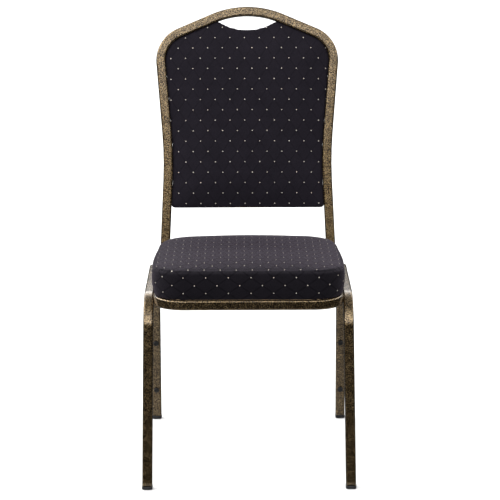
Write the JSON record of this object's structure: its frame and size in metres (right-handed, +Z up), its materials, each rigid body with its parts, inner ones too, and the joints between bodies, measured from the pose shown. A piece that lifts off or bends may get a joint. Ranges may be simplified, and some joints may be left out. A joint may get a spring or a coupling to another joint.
{
  "type": "stacking chair",
  "caption": "Stacking banquet chair with a bent square-tube frame, padded box seat and a crown-shaped padded back with a hand-hold at the top.",
  "frame": {"origin": "on the floor, under the middle of the chair's bounding box", "axes": "+Z up, +Y towards the back of the chair so that the sitter faces -Y, +X to the right as seen from the front"},
  "size_m": [0.4522, 0.564, 0.9635],
  "materials": {
    "frame_paint": "speckled bronze powder coat, semi-gloss",
    "seat_fabric": "woven near-black upholstery cloth with small gold dots",
    "foam": "open-cell foam",
    "plywood": "unfinished plywood",
    "dust_cloth": "thin non-woven cloth",
    "bumper_rubber": "moulded matt rubber",
    "glide_plastic": "moulded plastic, satin",
    "bare_steel": "plain steel plate",
    "zinc_screw": "zinc plated"
  },
  "bodies": {
    "root": {"leg_frame_left": "frame_paint", "leg_frame_right": "frame_paint", "stack_bumper_left_1": "bumper_rubber", "stack_bumper_left_2": "bumper_rubber", "stack_bumper_right_1": "bumper_rubber", "stack_bumper_right_2": "bumper_rubber", "foot_glide_front_left": "glide_plastic", "foot_glide_front_right": "glide_plastic", "foot_glide_rear_left": "glide_plastic", "foot_glide_rear_right": "glide_plastic", "back_frame": "frame_paint", "back_board": "plywood", "back_foam_front": "foam", "back_foam_rear": "foam", "back_cover_front": "seat_fabric", "back_cover_rear": "seat_fabric", "back_tab_left_1": "bare_steel", "back_screw_left_1": "zinc_screw", "back_tab_left_2": "bare_steel", "back_screw_left_2": "zinc_screw", "back_tab_right_1": "bare_steel", "back_screw_right_1": "zinc_screw", "back_tab_right_2": "bare_steel", "back_screw_right_2": "zinc_screw", "upright_plug_left": "glide_plastic", "upright_plug_right": "glide_plastic", "seat_frame": "frame_paint", "centre_cross_tube": "frame_paint", "rear_cross_tube": "frame_paint", "seat_tab_left_1": "frame_paint", "seat_screw_left_1": "zinc_screw", "seat_tab_left_2": "frame_paint", "seat_screw_left_2": "zinc_screw", "seat_tab_right_1": "frame_paint", "seat_screw_right_1": "zinc_screw", "seat_tab_right_2": "frame_paint", "seat_screw_right_2": "zinc_screw", "seat_cover": "seat_fabric", "seat_foam": "foam", "seat_board": "plywood", "seat_dust_cover": "dust_cloth"}
  },
  "joints": []
}
